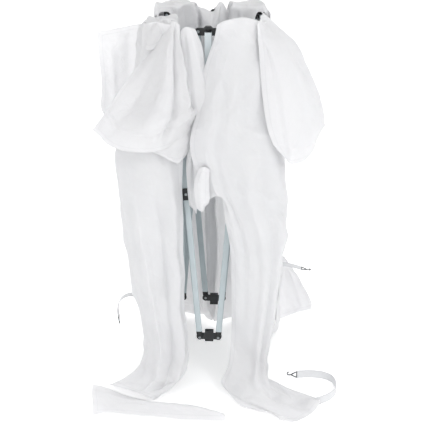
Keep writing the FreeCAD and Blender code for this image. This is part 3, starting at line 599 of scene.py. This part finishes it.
hang("swag_front_right", grid, "leg_front_right", "blr")

# %% [markdown]
# ## Flaps and loose corners
# The rest of the cover shows as loose corners: a stiff flap that stands out to the left at the
# back, a smaller one low on the right, the strip between the two front drapes, a small pocket in
# front of the bars, a fold under the left swag, and the roof cloth bunched up at the back. All are
# pinned like the drapes, so one table says how each is made and what holds it.

# %% Flaps
flap_back_left_rows = [
    [(-23, 21, 152), (-33, 23, 151), (-43, 24, 149), (-52, 25, 147)],
    [(-22, 24, 138), (-32, 27, 138), (-43, 27, 137), (-52, 25, 136)],
    [(-21, 26, 124), (-31, 29, 124), (-43, 29, 123), (-51, 25, 123)],
    [(-21, 27, 112), (-31, 30, 112), (-42, 29, 111), (-52, 25, 113)],
    [(-22, 27, 102), (-31, 29, 103), (-42, 28, 104), (-50, 25, 108)],
]
flap_back_right_rows = [
    [(29, 24, 42), (31, 26, 42), (33, 26, 41), (34, 24, 40)],
    [(29, 26, 32), (33, 28, 31), (37, 28, 30), (40, 25, 30)],
    [(28, 28, 21), (33, 31, 20), (40, 30, 20), (44, 25, 22)],
    [(28, 29, 11), (34, 32, 11), (42, 30, 13), (47, 25, 16)],
    [(28, 29, 4), (34, 31, 5), (41, 29, 9), (47, 25, 13)],
]
strip_rows = [
    [(-11, -23, 156), (-9, -24, 158), (-7, -24, 158), (-5, -23, 157)],
    [(-12, -23, 150), (-9, -25, 151), (-6, -26, 151), (-2, -24, 150)],
    [(-12, -24, 141), (-8, -27, 142), (-4, -27, 142), (-0.5, -25, 141)],
    [(-11, -25, 131), (-7, -28, 131), (-3, -28, 131), (2, -26, 131)],
    [(-10, -25, 122), (-7, -27, 122), (-3, -28, 122), (1, -26, 122)],
    [(-9, -24, 112), (-7, -26, 112), (-4, -26, 112), (-1, -25, 112)],
    [(-9, -23, 100), (-7, -24, 100), (-5, -24, 99), (-3, -24, 99)],
    [(-8, -22.5, 84), (-7, -23, 83), (-6, -23, 82), (-5, -22.5, 80)],
]
pouch_rows = [
    [(-3, -31, 103), (-1, -32, 104), (1, -31, 103)],
    [(-5, -32, 97), (-2, -34, 97), (1, -32, 95)],
    [(-5, -32, 90), (-2, -34, 89), (1, -32, 89)],
    [(-4, -31, 86), (-2, -32, 85), (-1, -31, 86)],
]
under_rows = [
    [(-26, -27, 124), (-18, -30, 124), (-11, -29, 124), (-3, -25, 124)],
    [(-26, -28, 115), (-18, -31, 115), (-11, -30, 115), (-4, -25, 117)],
    [(-27, -28, 111), (-20, -30, 110), (-12, -29, 108), (-6, -25, 111)],
    [(-26, -27, 110), (-19, -29, 108), (-12, -28, 104), (-9, -25, 106)],
]
roof_rows = [
    [(-11, 18, 156), (-8, 17, 160), (-4, 16, 159), (0, 15, 158),
     (3, 15, 162), (6, 16, 158), (9, 17, 156)],
    [(-11, 16, 150), (-8, 14, 153), (-4, 9, 154), (0, 8, 152),
     (3, 10, 155), (6, 13, 152), (9, 16, 150)],
    [(-11, 15, 136), (-7, 14, 137), (-3, 10, 138), (0, 9, 137),
     (3, 11, 139), (6, 13, 137), (9, 15, 136)],
    [(-10, 15, 120), (-6, 14, 121), (-3, 11, 122), (0, 10, 121),
     (3, 12, 122), (6, 13, 121), (9, 15, 120)],
]
loose = {
    "flap_back_left": (flap_back_left_rows, "back_left", 31, "blrt",
                       [(0.20, 0.30, 0.08, 0.014, 0.0, 1.0), (0.50, 0.62, 0.07, -0.014, 0.0, 1.0),
                        (0.78, 0.80, 0.06, 0.010, 0.1, 1.0)]),
    "flap_back_right": (flap_back_right_rows, "back_right", 32, "br",
                        [(0.40, 0.35, 0.10, 0.010, 0.1, 1.0),
                         (0.70, 0.72, 0.10, -0.010, 0.1, 1.0)]),
    "strip_front_left": (strip_rows, "front_left", 33, "blr",
                         [(0.30, 0.50, 0.14, 0.010, 0.0, 1.0),
                          (0.75, 0.85, 0.10, -0.006, 0.0, 1.0)]),
    "pouch_front_right": (pouch_rows, "front_right", 35, "bltr", []),
    "under_front_left": (under_rows, "front_left", 36, "blr",
                         [(0.4, 0.55, 0.12, 0.008, 0.0, 1.0)]),
    "roof_back": (roof_rows, "mid_joint_upper_back", 37, "b",
                  [(0.2, 0.25, 0.06, 0.012, 0.0, 1.0), (0.45, 0.5, 0.06, -0.014, 0.0, 1.0),
                   (0.7, 0.68, 0.05, 0.012, 0.0, 1.0)]),
}
for name, (rows, holder, seed, hems, folds) in loose.items():
    grid = shaped(rows, 70, 90, seed, folds, 0.5 if "pouch" in name else 0.8)
    from_leg = "leg_" + holder in frame["bodies"]
    hang(name, grid, "leg_" + holder if from_leg else holder, hems)

# %% [markdown]
# ## Hoods on the brackets
# Each corner of the roof has a sewn pocket that caps the leg's bracket. A hood is a closed surface
# of an angle and a height: a rounded square section, |x|^n + |y|^n = 1, whose wall rises, turns
# over a soft edge and closes at the middle of its roof. Two waves of the angle pleat the wall, as
# slack cloth would be, and the rim arches up where bars leave the bracket.

# %% Corner hoods
SQUARENESS = 2.6   # n: 2 is an ellipse, and more is nearer to a square


def hood(name, corner, centre, half, top, drop, seed, tilt, exits, gap):
    """Soft cap: a pleated wall flares down from the roof's edge; above, it closes at one point.

    At the two angles where bars leave the bracket, the rim arches up to let them swing out."""
    around, up = 120, 64
    angle, rise = np.meshgrid(np.linspace(0, 2 * np.pi, around), np.linspace(0, 1, up))
    inward = np.clip((rise - 0.5) / 0.5, 0, 1)
    reach = (1 - inward ** 1.8) * (1 + 0.16 * (1 - rise) ** 1.5)
    arch = sum(np.exp(-((np.mod(angle - at + np.pi, 2 * np.pi) - np.pi) / gap) ** 4)
               for at in exits)
    level = top - drop * (1 - np.clip(rise / 0.62, 0, 1)) ** 1.3 * (1 - 0.82 * arch)
    shrink = (np.abs(np.cos(angle)) ** SQUARENESS
              + np.abs(np.sin(angle)) ** SQUARENESS) ** (-1 / SQUARENESS)
    pleats = 0.055 * np.sin(4 * angle + seed) + 0.035 * np.sin(9 * angle + 2 * seed)
    ripple = 1 + (pleats + creases(angle / 9.0, rise * 0.12, seed, 22, 0.035, 0.14, 0.05, 0.3)
                  ) * (1 - inward) ** 0.5
    x = centre[0] + half[0] * reach * shrink * ripple * np.cos(angle)
    y = centre[1] + half[1] * reach * shrink * ripple * np.sin(angle)
    z = level + 0.012 * np.sin(3 * angle + seed) * (1 - inward) * (1 - arch)
    z = z + tilt * (x - centre[0])
    z = z - 0.012 * inward ** 2 + 0.010 * np.sin(5 * angle + 1.3 * seed) * inward * (1 - inward)
    z = z + creases(x - x.min(), y - y.min(), seed + 9, 12, 0.05, 0.010, 0.08, 1.5) * inward
    grid = np.stack([x, y, z], -1)
    grid[:, -1] = grid[:, 0]
    grid[-1] = grid[-1].mean(axis=0)
    merge(hang(name, grid, "leg_" + corner, "t"))


def merge(item):
    """Join the vertices that lie on one another, so that seams and poles are closed."""
    shape = bmesh.new()
    shape.from_mesh(item.data)
    bmesh.ops.remove_doubles(shape, verts=shape.verts, dist=1e-6)
    bmesh.ops.dissolve_degenerate(shape, edges=shape.edges, dist=1e-7)
    shape.to_mesh(item.data)
    shape.free()


hood("hood_back_left", "back_left", (-0.166, 0.176), (0.084, 0.080), 1.610, 0.11, 41, 0.03,
     (0.21, -1.89), 0.36)
hood("hood_back_right", "back_right", (0.146, 0.176), (0.078, 0.080), 1.612, 0.11, 42, -0.06,
     (np.pi - 0.21, -0.97), 0.36)
hood("hood_front_left", "front_left", (-0.180, -0.178), (0.054, 0.056), 1.604, 0.10, 43, 0.06,
     (-0.27, 1.81), 0.48)

# %% [markdown]
# ## Cloth on the floor
# The hem of the front panel has slipped off and lies in front of the bundle as a long doubled
# strip. Its pins run from one end of the strip to the other, four across.

# %% Floor strip
floor_strip_rows = [
    [(-51, -30, 1), (-50, -38, 2), (-48, -47, 3), (-46.6, -55, 1)],
    [(-44, -34, 2), (-43, -40, 2), (-42, -46, 2), (-40, -52, 1)],
    [(-33, -39, 1), (-33, -44, 2), (-32, -48, 2), (-31, -53, 1)],
    [(-22, -43, 1), (-21, -47, 3), (-20, -50, 2), (-19, -54, 1)],
    [(-13, -46, 2), (-12, -49, 4), (-11, -52, 3), (-10, -55, 1)],
    [(-6, -48, 2), (-5, -51, 5), (-4, -53, 3), (-3, -55, 1)],
    [(2, -49, 1), (3, -51, 2), (5, -53, 3), (6, -55, 1)],
    [(7, -50, 1), (8, -51, 2), (9, -53, 2), (9, -55, 1)],
]
grid = shaped(floor_strip_rows, 60, 180, 51, [(0.3, 0.6, 0.12, 0.010, 0.0, 1.0),
                                              (0.8, 0.3, 0.10, 0.008, 0.2, 1.0)], 0.5)
hang("floor_strip_front_left", grid[:, ::-1], "leg_front_left", "blrt")

# %% [markdown]
# ## Webbing straps
# Three tie-down straps hang from the hem: flat polyester webbing, 38 mm wide and about 2 mm thick,
# with ribs across it. A strap is a ribbon carried along a path: at each point of the path's spline
# a width vector is laid across it, and it may turn from lying flat to standing on edge.

# %% Straps
WEBBING_HALF_WIDTH, WEBBING_THICKNESS = 0.019, 0.0022   # metres


def webbing_finish():
    """Ribbed webbing: ribs across the strap, 1.6 mm apart but drawn at 8 mm so that they show."""
    material, tree, shader = finish_of("polyester_webbing")
    flat = add(tree, "UVMap", uv_map="cut").outputs[0]
    rib = add(tree, "TexWave", {"Vector": flat, "Scale": 40.0}, bands_direction="Y").outputs["Fac"]
    fuzz = add(tree, "TexNoise", {"Vector": flat, "Scale": 300.0, "Detail": 2.0}).outputs["Fac"]
    body = add(tree, "Mix", {0: fuzz, 6: colour("#dfe0e1"), 7: colour("#cdced1")},
               data_type="RGBA").outputs[2]
    tree.links.new(body, shader.inputs["Base Color"])
    shader.inputs["Roughness"].default_value = 0.8
    shader.inputs["Sheen Weight"].default_value = 0.2
    bump = add(tree, "Bump", {"Height": rib, "Strength": 0.6, "Distance": 0.0006})
    tree.links.new(bump.outputs[0], shader.inputs["Normal"])
    return material


def strap(name, corner, path, wide_start, wide_end, turn):
    """Ribbon along a spline: half a width to each side of it, turning between two directions."""
    line = spline(np.array(path) / 1000.0, 160)
    t = smooth_step((np.linspace(0, 1, 160) - turn[0]) / (turn[1] - turn[0]))[:, None]
    wide = np.array(wide_start, float) * (1 - t) + np.array(wide_end, float) * t
    wide /= np.linalg.norm(wide, axis=1, keepdims=True)
    across = np.linspace(-WEBBING_HALF_WIDTH, WEBBING_HALF_WIDTH, 9)
    grid = line[:, None, :] + wide[:, None, :] * across[None, :, None]
    grid[..., 2] = np.maximum(grid[..., 2], 0.0013)
    item = hang(name, grid, "leg_" + corner, "", WEBBING_THICKNESS, ["strap_" + corner])
    item.data.materials.clear()
    item.data.materials.append(webbing)


webbing = webbing_finish()
strap("webbing_front_right", "front_right",
      [(400, -400, 3), (440, -394, 8), (486, -384, 14), (533, -352, 19), (560, -305, 19),
       (563, -255, 19), (546, -205, 19), (505, -178, 19), (450, -172, 19), (397, -180, 19)],
      (0.2, 0.98, 0.25), (0, 0, 1), (0.05, 0.35))
strap("webbing_back_right", "back_right",
      [(310, 212, 384), (345, 215, 381), (380, 215, 374), (414, 215, 364)],
      (0, 1, 0.1), (0, 1, 0), (0.1, 0.9))
strap("webbing_back_left", "back_left",
      [(-300, 215, 150), (-330, 215, 178), (-370, 215, 196), (-420, 215, 199), (-460, 215, 172),
       (-474, 215, 128), (-472, 215, 85)],
      (0, 1, 0), (0, 1, 0), (0.1, 0.9))

# %% [markdown]
# ## Floor and light
# In a white room with a pale floor, a soft light from the upper right and weaker ones from the
# front and back keep the white cloth readable: its folds show by their shadows, not by its colour.

# %% Floor and lights
FLOOR_HALF = 60                        # metres: its edge is too far off to show
BUNDLE_MIDDLE = Vector((0, 0, 0.9))    # what the lights point at
floor_mesh = bpy.data.meshes.new("studio_floor")
floor_mesh.from_pydata([(-FLOOR_HALF, -FLOOR_HALF, 0), (FLOOR_HALF, -FLOOR_HALF, 0),
                        (FLOOR_HALF, FLOOR_HALF, 0), (-FLOOR_HALF, FLOOR_HALF, 0)],
                       [], [(0, 1, 2, 3)])
floor = bpy.data.objects.new("studio_floor", floor_mesh)
bpy.context.collection.objects.link(floor)
floor_paint, _, shader = finish_of("studio_floor_paint")
shader.inputs["Base Color"].default_value = colour("#ffffff")
shader.inputs["Roughness"].default_value = 0.9
shader.inputs["Emission Color"].default_value = colour("#ffffff")
shader.inputs["Emission Strength"].default_value = 0.30
floor_mesh.materials.append(floor_paint)

world = bpy.data.worlds.new("studio")
world.use_nodes = True
world.node_tree.nodes["Background"].inputs["Color"].default_value = colour("#ffffff")
world.node_tree.nodes["Background"].inputs["Strength"].default_value = 1.0
bpy.context.scene.world = world
for name, place, power, width in (("key_light", (4.8, -4.8, 5.9), 100.0, 2.4),
                                  ("front_light", (-1.1, -7.2, 2.0), 29.0, 4.2),
                                  ("back_light", (-0.8, 6.6, 2.8), 30.0, 5.0)):
    data = bpy.data.lights.new(name, "AREA")
    data.energy = power
    data.size = width
    data.color = (1.0, 1.0, 1.0)
    lamp = bpy.data.objects.new(name, data)
    lamp.location = place
    lamp.visible_camera = False
    lamp.rotation_euler = (BUNDLE_MIDDLE - Vector(place)).to_track_quat("-Z", "Y").to_euler()
    bpy.context.collection.objects.link(lamp)
bpy.context.scene.view_settings.view_transform = "Standard"
print("lights ready")

# %% [markdown]
# ## Last update
# The view layer is brought up to date.

# %% Last update
bpy.context.view_layer.update()
